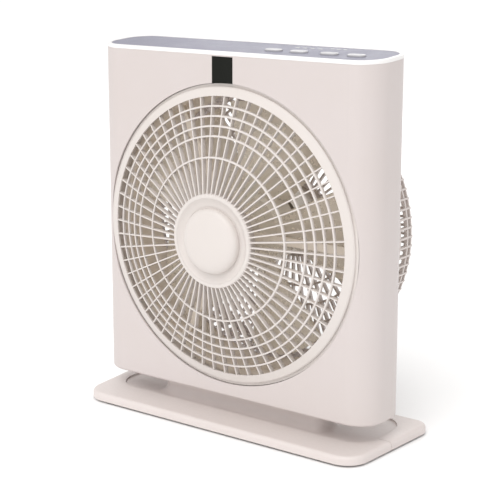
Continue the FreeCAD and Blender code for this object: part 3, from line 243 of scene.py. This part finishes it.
housingFinish = {
    "Colour": colour(206, 197, 195), "Aged Colour": colour(202, 192, 188), "Dust Colour": colour(197, 189, 184),
    "Drift": 0.5, "Dust": 0.25, "Roughness": 0.36, "Smudge": 0.09, "Pebble Scale": 1500.0,
}
louvreFinish = dict(housingFinish, **{"Colour": colour(215, 208, 204), "Aged Colour": colour(210, 202, 196),
                                      "Roughness": 0.38, "Dust": 0.35})
# top cover whiter than the housing: painted highlight for the bright rim along the top's front edge
rimHighlightFinish = dict(housingFinish, **{"Colour": colour(240, 238, 237), "Aged Colour": colour(235, 232, 230),
                                  "Dust Colour": colour(230, 227, 224), "Dust": 0.1, "Roughness": 0.3})
spinnerFinish = dict(housingFinish, **{"Colour": colour(196, 186, 174), "Aged Colour": colour(186, 174, 160),
                                      "Roughness": 0.45})
footFinish = dict(housingFinish, **{"Colour": colour(217, 208, 205), "Aged Colour": colour(212, 202, 198),
                                   "Dust Colour": colour(208, 200, 195)})
panelFinish = {
    "Colour": colour(124, 123, 143), "Aged Colour": colour(130, 129, 146), "Dust Colour": colour(150, 148, 156),
    "Drift": 0.6, "Dust": 0.3, "Roughness": 0.36, "Smudge": 0.1, "Pebble Scale": 2600.0,
}
buttonFinish = {
    "Colour": colour(182, 181, 184), "Aged Colour": colour(174, 173, 175), "Dust Colour": colour(168, 166, 164),
    "Drift": 0.5, "Dust": 0.15, "Roughness": 0.28, "Smudge": 0.12, "Pebble Scale": 2200.0,
}
windowFinish = {
    "Colour": colour(16, 18, 13), "Aged Colour": colour(22, 23, 19), "Dust Colour": colour(70, 68, 62),
    "Drift": 0.4, "Dust": 0.1, "Roughness": 0.12, "Smudge": 0.08, "Pebble Scale": 700.0,
}
lightFinish = {
    "Colour": colour(226, 228, 222), "Aged Colour": colour(214, 220, 206), "Dust Colour": colour(200, 198, 190),
    "Drift": 0.4, "Dust": 0.1, "Roughness": 0.2, "Smudge": 0.08, "Pebble Scale": 900.0,
}
# blades and duct: beige own colour, made brighter than the housing as painted light for the light that reaches
# the fan's inside
bladePaintedLightFinish = {
    "Colour": colour(236, 226, 211), "Aged Colour": colour(229, 217, 200), "Dust Colour": colour(206, 194, 178),
    "Drift": 0.5, "Dust": 0.5, "Roughness": 0.22, "Smudge": 0.14, "Pebble Scale": 600.0,
}
ductPaintedLightFinish = {
    "Colour": colour(236, 225, 211), "Aged Colour": colour(229, 216, 200), "Dust Colour": colour(206, 194, 180),
    "Drift": 0.7, "Dust": 0.5, "Roughness": 0.5, "Smudge": 0.1, "Pebble Scale": 900.0,
}
guardFinish = {
    "Colour": colour(212, 203, 199), "Aged Colour": colour(205, 195, 189), "Dust Colour": colour(186, 177, 168),
    "Drift": 0.6, "Dust": 0.45, "Roughness": 0.42, "Smudge": 0.1, "Pebble Scale": 1200.0,
}
blackFinish = {
    "Colour": colour(34, 34, 35), "Aged Colour": colour(46, 45, 44), "Dust Colour": colour(110, 106, 100),
    "Drift": 0.5, "Dust": 0.35, "Roughness": 0.5, "Smudge": 0.12, "Pebble Scale": 1600.0,
}
rubberFinish = dict(blackFinish, **{"Colour": colour(40, 39, 38), "Roughness": 0.72, "Pebble Scale": 800.0})
boardFinish = {
    "Colour": colour(38, 92, 58), "Aged Colour": colour(30, 76, 48), "Dust Colour": colour(120, 122, 104),
    "Drift": 0.7, "Dust": 0.3, "Roughness": 0.35, "Smudge": 0.1, "Pebble Scale": 500.0,
}
capacitorFinish = dict(ductPaintedLightFinish, **{"Colour": colour(232, 226, 206), "Roughness": 0.35})
steelFinish = {
    "Colour": (0.62, 0.62, 0.63, 1), "Dull Colour": (0.42, 0.42, 0.44, 1), "Marks": (500.0, 120.0, 500.0),
    "Roughness": 0.26, "Spread": 0.18,
}
canFinish = dict(steelFinish, **{"Colour": (0.76, 0.71, 0.64, 1), "Dull Colour": (0.66, 0.61, 0.54, 1),
                                 "Roughness": 0.34})
stackFinish = dict(steelFinish, **{"Colour": (0.24, 0.24, 0.25, 1), "Dull Colour": (0.16, 0.15, 0.15, 1),
                                   "Marks": (40.0, 2400.0, 40.0), "Roughness": 0.45})
windingFinish = dict(steelFinish, **{"Colour": (0.62, 0.25, 0.10, 1), "Dull Colour": (0.42, 0.15, 0.06, 1),
                                     "Marks": (1600.0, 1600.0, 1600.0), "Roughness": 0.3})
bushFinish = dict(steelFinish, **{"Colour": (0.62, 0.46, 0.22, 1), "Dull Colour": (0.42, 0.31, 0.15, 1)})

mouldedPlastic = {"IOR": 1.5, "Specular IOR Level": 0.5}
glossPlastic = {"IOR": 1.5, "Coat Weight": 0.35, "Coat Roughness": 0.12}
tintedPlastic = {"IOR": 1.35, "Specular IOR Level": 0.2}
solidMetal = {"Metallic": 1.0}
clearPlastic = {"IOR": 1.49, "Transmission Weight": 0.25}

materials = {
    "housing": skinMaterial("warmWhiteHousing", mouldedSkin, housingFinish, mouldedPlastic,
                            bump=0.10, edge=0.0006),
    "louvre": skinMaterial("warmWhiteLouvre", mouldedSkin, louvreFinish, mouldedPlastic,
                           bump=0.08, edge=0.0003),
    "foot": skinMaterial("warmWhiteFoot", mouldedSkin, footFinish, mouldedPlastic, bump=0.10, edge=0.0006),
    "panel": skinMaterial("blueGreyPanel", mouldedSkin, panelFinish, mouldedPlastic, bump=0.12, edge=0.0003),
    "button": skinMaterial("silverButton", mouldedSkin, buttonFinish, glossPlastic, bump=0.05, edge=0.0005),
    "window": skinMaterial("blackWindow", mouldedSkin, windowFinish, tintedPlastic, bump=0.02, edge=0.0002),
    "light": skinMaterial("lightPipe", mouldedSkin, lightFinish, clearPlastic, bump=0.04),
    "blade": skinMaterial("milkyBladePaintedLight", mouldedSkin, bladePaintedLightFinish, clearPlastic, bump=0.05, edge=0.0004),
    "duct": skinMaterial("beigeDuctPaintedLight", mouldedSkin, ductPaintedLightFinish, mouldedPlastic,
                         bump=0.15, depth=0.0003, edge=0.0005),
    "guard": skinMaterial("warmWhiteGuard", mouldedSkin, guardFinish, mouldedPlastic, bump=0.10, edge=0.0004),
    "black": skinMaterial("blackPlastic", mouldedSkin, blackFinish, mouldedPlastic, bump=0.15, edge=0.0004),
    "rubber": skinMaterial("blackRubber", mouldedSkin, rubberFinish, mouldedPlastic, bump=0.25, depth=0.0003),
    "board": skinMaterial("greenBoard", mouldedSkin, boardFinish, glossPlastic, bump=0.10),
    "capacitor": skinMaterial("creamCapacitor", mouldedSkin, capacitorFinish, mouldedPlastic, bump=0.08),
    "steel": skinMaterial("zincSteel", metalSkin, steelFinish, solidMetal, bump=0.06, depth=0.0001),
    "can": skinMaterial("paintedCan", metalSkin, canFinish, solidMetal, bump=0.08, depth=0.0001, edge=0.0004),
    "lamination": skinMaterial("laminatedCore", metalSkin, stackFinish, solidMetal, bump=0.5),
    "winding": skinMaterial("copperWinding", metalSkin, windingFinish, solidMetal, bump=0.6, depth=0.0003),
    "bush": skinMaterial("bronzeBush", metalSkin, bushFinish, solidMetal, bump=0.08, depth=0.0001),
}

# two nodes are a shade of their own; the top cover's whiter colour is a painted highlight along its rim
ownColourAndRimHighlight = {
    "top_cover": skinMaterial("whiteRimPaintedHighlight", mouldedSkin, rimHighlightFinish, mouldedPlastic, bump=0.06, edge=0.0008),
    "spinner_nut": skinMaterial("ivorySpinner", mouldedSkin, spinnerFinish, mouldedPlastic,
                                bump=0.1, edge=0.0004),
}
for part in frame["record"]["subparts"]:
    piece = nodes[part["node"]]
    for socket in piece.material_slots:
        socket.material = ownColourAndRimHighlight.get(part["node"], materials[part["material_slot"]])
print("materials on every node:", len(materials))

# shape helpers

def meshPiece(name, points, faces, slot, body, smooth=True):
    data = bpy.data.meshes.new(name)
    data.from_pydata(points, [], faces)
    piece = bpy.data.objects.new(name, data)
    bpy.context.scene.collection.objects.link(piece)
    mesh = bmesh.new()
    mesh.from_mesh(data)
    bmesh.ops.remove_doubles(mesh, verts=mesh.verts, dist=weldGap)
    bmesh.ops.recalc_face_normals(mesh, faces=mesh.faces)
    mesh.to_mesh(data)
    mesh.free()
    for face in data.polygons:
        face.use_smooth = smooth
    data.materials.append(materials[slot])
    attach(piece, body)
    return piece


def loopFaces(loops, count):
    # quads between neighbouring loops of points
    faces = []
    for row in range(loops - 1):
        for step in range(count):
            after = (step + 1) % count
            near = row * count
            far = near + count
            faces.append((near + step, near + after, far + after, far + step))
    return faces


def turnedPiece(name, profile, place, axis, slot, body, steps=96, closed=False):
    # a profile of (radius, height) turned about an axis that runs out of the place;
    # closed joins the last ring to the first, otherwise both ends get a flat face
    turn = Vector(axis).to_track_quat("Z", "Y").to_matrix()
    points = []
    for radius, height in profile:
        for step in range(steps):
            angle = 2 * math.pi * step / steps
            flat = Vector((radius * math.cos(angle), radius * math.sin(angle), height))
            points.append(Vector(place) + turn @ flat)
    faces = loopFaces(len(profile), steps)
    if closed:
        last = (len(profile) - 1) * steps
        for step in range(steps):
            after = (step + 1) % steps
            faces.append((last + step, last + after, after, step))
    else:
        faces.append(tuple(range(steps)))
        faces.append(tuple(range((len(profile) - 1) * steps, len(profile) * steps)))
    return meshPiece(name, points, faces, slot, body)


front = (0, -1, 0)
rear = (0, 1, 0)


def middleOf(node):
    low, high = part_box(node)
    return [(a + b) / 2 for a, b in zip(low, high)]


# louvre hub: soft-edged cap and the hollow ring round it

hubCap = {
    "rise": 0.0100, "flatness": 5.0, "edge": 2.9, "rings": 30, "spacing": 2.2, "collar": 0.0008, "tip": 0.0002,
}


def makeHubCap():
    low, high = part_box("louvre_cap")
    radius = (high[0] - low[0]) / 2
    place = (middleOf("louvre_cap")[0], high[1], middleOf("louvre_cap")[2])
    profile = [(radius, 0.0)]
    for ring in range(hubCap["rings"] + 1):
        share = 1 - (ring / hubCap["rings"]) ** hubCap["spacing"]
        height = hubCap["rise"] * (1 - share ** hubCap["flatness"]) ** (1 / hubCap["edge"])
        profile.append((max(radius * share, hubCap["tip"]), hubCap["collar"] + height))
    cap = turnedPiece("softHubCap", profile, place, front, "louvre", "louvre")
    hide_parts("louvre_cap")


hubDish = {
    "outer": 0.0460, "inner": 0.0366, "drop": 0.0034, "curve": 2.4, "rings": 14,
    "sunk": 0.0002, "short": 0.0001, "lift": 0.00005,
}


def makeHubDish():
    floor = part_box("louvre_cap")[1][1]
    place = (middleOf("louvre_wheel")[0], floor, middleOf("louvre_wheel")[2])
    profile = [(hubDish["outer"], -hubDish["sunk"])]
    for ring in range(hubDish["rings"] + 1):
        share = 1 - ring / hubDish["rings"]
        radius = hubDish["inner"] + (hubDish["outer"] - hubDish["inner"]) * share
        height = (hubDish["drop"] - hubDish["short"]) * share ** hubDish["curve"] + hubDish["lift"]
        profile.append((radius, height))
    profile.append((hubDish["inner"], -hubDish["sunk"]))
    turnedPiece("hubDish", profile, place, front, "louvre", "louvre", closed=True)


makeHubCap()
makeHubDish()
print("hub cap and dish made")

# flared mouth of the duct, behind the louvre's skirt

ductMouth = {
    "inner": 0.1514, "outer": 0.1594, "behind": 0.0021, "ahead": 0.0004, "gap": 0.0004, "thick": 0.0009,
    "rings": 8, "steps": 160,
}


def makeDuctMouth():
    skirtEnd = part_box("louvre_wheel")[1][1]
    upper = []
    lower = []
    for ring in range(ductMouth["rings"] + 1):
        share = ring / ductMouth["rings"]
        radius = ductMouth["inner"] + (ductMouth["outer"] - ductMouth["inner"]) * share
        height = -ductMouth["ahead"] - ductMouth["behind"] * (1 - share) ** 2
        upper.append((radius, height - ductMouth["gap"]))
        lower.append((radius, height - ductMouth["gap"] - ductMouth["thick"]))
    place = (middleOf("louvre_wheel")[0], skirtEnd, middleOf("louvre_wheel")[2])
    profile = upper + lower[::-1]
    turnedPiece("ductMouth", profile, place, front, "duct", "root", steps=ductMouth["steps"], closed=True)


makeDuctMouth()
print("duct mouth made")

# push buttons: low ovals with a rolled edge and a finger dish

joints = frame["record"]["behaviour"]["joints"]
press = next(joint["axis"] for joint in joints if joint["name"] == "button_1_press")
upward = -Vector(press).normalized()
acrossTop = upward.cross(Vector((1, 0, 0))).normalized()
buttonCap = {"body": 0.0075, "steps": 20, "dish": 0.00045, "roll": 0.0012, "rings": 7, "centre": 0.0003}


def topFace(node):
    # middle and half sizes of the flat face at the top of a node, measured square to the sloping top
    spots = [Vector(vertex.co) for vertex in nodes[node].data.vertices]
    highest = max(spot.dot(upward) for spot in spots)
    face = [spot for spot in spots if spot.dot(upward) > highest - sameLevel]
    wide = [spot.x for spot in face]
    deep = [spot.dot(acrossTop) for spot in face]
    middle = Vector(((min(wide) + max(wide)) / 2, 0, 0)) + acrossTop * ((min(deep) + max(deep)) / 2)
    return middle + upward * highest, (max(wide) - min(wide)) / 2, (max(deep) - min(deep)) / 2


def ovalLoop(halfLong, halfWide, steps):
    # points round a block with half-round ends
    straight = halfLong - halfWide
    for side in (1, -1):
        for step in range(steps + 1):
            angle = side * math.pi / 2 - math.pi * step / steps
            yield side * straight + halfWide * math.cos(angle), halfWide * math.sin(angle)


def makeButton(number):
    node = "button_%d" % number
    middle, halfLong, halfWide = topFace(node)
    roll = buttonCap["roll"]
    layers = [(0.0, -buttonCap["body"]), (0.0, -roll)]
    for ring in range(1, buttonCap["rings"] + 1):
        angle = math.pi / 2 * ring / buttonCap["rings"]
        layers.append((roll * (1 - math.cos(angle)), -roll + roll * math.sin(angle)))
    for ring in range(1, buttonCap["rings"] + 1):
        share = ring / buttonCap["rings"]
        inset = roll + (halfWide - roll - buttonCap["centre"]) * share
        layers.append((inset, -buttonCap["dish"] * math.sin(math.pi / 2 * share) ** 2))
    points = []
    count = 2 * (buttonCap["steps"] + 1)
    for inset, height in layers:
        for along, aside in ovalLoop(halfLong - inset, halfWide - inset, buttonCap["steps"]):
            points.append(middle + Vector((along, 0, 0)) + acrossTop * aside + upward * height)
    faces = loopFaces(len(layers), count)
    faces.append(tuple(range(count)))
    faces.append(tuple(range((len(layers) - 1) * count, len(layers) * count)))
    cap = meshPiece("ovalButton%d" % number, points, faces, "button", node + "_body")
    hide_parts(node)


for number in (1, 2, 3, 4):
    makeButton(number)
print("buttons made")

# domed cross-head screws behind, on the flat heads of the frame, with a black solid cross as painted recess
# shade

screwHead = {
    "dome": 0.0009, "reach": 0.0019, "slot": 0.0007, "slotFoot": 0.3, "lift": 0.00006,
    "rings": 6, "steps": 28, "sunk": 0.0002, "tip": 0.0001, "span": 0.0085,
}


def headPlaces(node):
    # middle and width of every head's outer face, found from the points furthest back
    spots = [Vector(vertex.co) for vertex in nodes[node].data.vertices]
    last = max(spot.y for spot in spots)
    loose = [spot for spot in spots if spot.y > last - sameLevel]
    found = []
    while loose:
        near = [spot for spot in loose if (spot - loose[0]).length < screwHead["span"]]
        loose = [spot for spot in loose if (spot - near[0]).length >= screwHead["span"]]
        middle = sum((spot for spot in near), Vector()) / len(near)
        found.append((middle, max((a - b).length for a in near for b in near)))
    return found


def makeScrews(node):
    for number, (middle, width) in enumerate(headPlaces(node), 1):
        radius = width / 2
        profile = [(radius, -screwHead["sunk"])]
        for ring in range(screwHead["rings"] + 1):
            angle = math.pi / 2 * ring / screwHead["rings"]
            across = max(radius * math.cos(angle), screwHead["tip"])
            profile.append((across, screwHead["dome"] * math.sin(angle)))
        turnedPiece("%s_dome%d" % (node, number), profile, middle, rear, "steel", "root",
                    steps=screwHead["steps"])
        # black cross standing a little proud of the dome: painted shade for the cross recess, no hole is cut
        points = []
        top = middle.y + screwHead["dome"] + screwHead["lift"]
        bottom = middle.y + screwHead["dome"] * screwHead["slotFoot"]
        reach = screwHead["reach"]
        half = screwHead["slot"] / 2
        cross = [(half, half), (half, reach), (-half, reach), (-half, half), (-reach, half), (-reach, -half),
                 (-half, -half), (-half, -reach), (half, -reach), (half, -half), (reach, -half), (reach, half)]
        for level in (bottom, top):
            for x, z in cross:
                points.append((middle.x + x, level, middle.z + z))
        faces = loopFaces(2, len(cross))
        faces.append(tuple(range(len(cross))))
        faces.append(tuple(range(len(cross), 2 * len(cross))))
        meshPiece("%s_cross%d" % (node, number), points, faces, "black", "root", smooth=False)


for node in ("shell_screws", "guard_screws", "motor_screws"):
    makeScrews(node)
print("screw heads made")

# floor, lights and camera

stageFloor = {
    "size": 60.0, "drop": 0.0004, "cloud": (3.0, 3.0, 0.5), "cloudRange": (0.3, 0.7),
    "darker": (0.965, 0.965, 0.965, 1), "paler": (0.98, 0.98, 0.98, 1), "roughness": 0.75,
}


def makeStage():
    bpy.ops.mesh.primitive_plane_add(size=stageFloor["size"], location=(0, 0, -stageFloor["drop"]))
    floor = bpy.context.object
    floor.name = "paleFloor"
    material = bpy.data.materials.new("paleFloorPaint")
    material.use_nodes = True
    tree = material.node_tree
    shader = tree.nodes["Principled BSDF"]
    place = addNode(tree, "ShaderNodeTexCoord", (-700, 0)).outputs["Object"]
    cloud = noise(tree, (-500, 0), place, *stageFloor["cloud"])
    tone = mapRange(tree, (-300, 0), cloud, *stageFloor["cloudRange"], 0.0, 1.0)
    shade = mixColour(tree, (-100, 0), "MIX", tone, stageFloor["darker"], stageFloor["paler"])
    tree.links.new(shade, shader.inputs["Base Color"])
    setInputs(shader, {"Roughness": stageFloor["roughness"]})
    floor.data.materials.append(material)


sky = {"energy": 1.25, "spread": 40, "from": (0.12, -0.66, 1.0), "tint": (1.0, 0.995, 0.985)}
room = {"tint": (1.0, 0.995, 0.99, 1), "strength": 0.80}
lamps = {
    "keyLight": {"place": (0.6, -2.0, 1.9), "aim": (0, 0, 0.22), "width": 1.8, "height": 1.4, "power": 4,
                 "tint": (1.0, 0.995, 0.985)},
    "lowFill": {"place": (-0.3, -1.9, 0.22), "aim": (0, 0, 0.05), "width": 2.0, "height": 0.4, "power": 2.5,
                "tint": (1.0, 0.99, 0.985)},
    "rightFill": {"place": (2.2, -0.6, 1.2), "aim": (0, 0, 0.22), "width": 0.8, "height": 1.0, "power": 0.5,
                  "tint": (1.0, 0.99, 0.98)},
    "backLight": {"place": (-0.9, 2.2, 1.3), "aim": (0, 0, 0.22), "width": 1.8, "height": 1.4, "power": 9,
                  "tint": (1.0, 1.0, 1.0)},
}


def areaLight(name, lamp):
    data = bpy.data.lights.new(name, "AREA")
    data.shape = "RECTANGLE"
    data.size = lamp["width"]
    data.size_y = lamp["height"]
    data.energy = lamp["power"]
    data.color = lamp["tint"]
    light = bpy.data.objects.new(name, data)
    bpy.context.scene.collection.objects.link(light)
    light.location = lamp["place"]
    light.rotation_euler = (Vector(lamp["aim"]) - Vector(lamp["place"])).to_track_quat("-Z", "Y").to_euler()


def makeLights():
    data = bpy.data.lights.new("softSky", "SUN")
    data.energy = sky["energy"]
    data.angle = math.radians(sky["spread"])
    data.color = sky["tint"]
    sun = bpy.data.objects.new("softSky", data)
    bpy.context.scene.collection.objects.link(sun)
    sun.rotation_euler = Vector(sky["from"]).to_track_quat("Z", "Y").to_euler()
    for name, lamp in lamps.items():
        areaLight(name, lamp)
    world = bpy.data.worlds.new("paleRoom")
    world.use_nodes = True
    back = world.node_tree.nodes["Background"]
    back.inputs["Color"].default_value = room["tint"]
    back.inputs["Strength"].default_value = room["strength"]
    bpy.context.scene.world = world


camera = {
    "place": (0.8507, -1.1752, 0.5363), "yaw": 0.6299, "pitch": 0.2004, "roll": -0.0011,
    "lens": 97.98, "sensor": 36, "shift": -0.10,
}


def makeCamera():
    data = bpy.data.cameras.new("mainCamera")
    eye = bpy.data.objects.new("mainCamera", data)
    bpy.context.scene.collection.objects.link(eye)
    data.lens = camera["lens"]
    data.sensor_width = camera["sensor"]
    data.shift_y = camera["shift"]
    turn = Matrix.Rotation(camera["yaw"], 4, "Z") @ Matrix.Rotation(math.radians(90) - camera["pitch"], 4, "X")
    turn = turn @ Matrix.Rotation(-camera["roll"], 4, "Z")
    eye.matrix_world = Matrix.Translation(camera["place"]) @ turn
    bpy.context.scene.camera = eye


makeStage()
makeLights()
makeCamera()
bpy.context.scene.view_settings.view_transform = "Standard"
print("stage, lights and camera set")
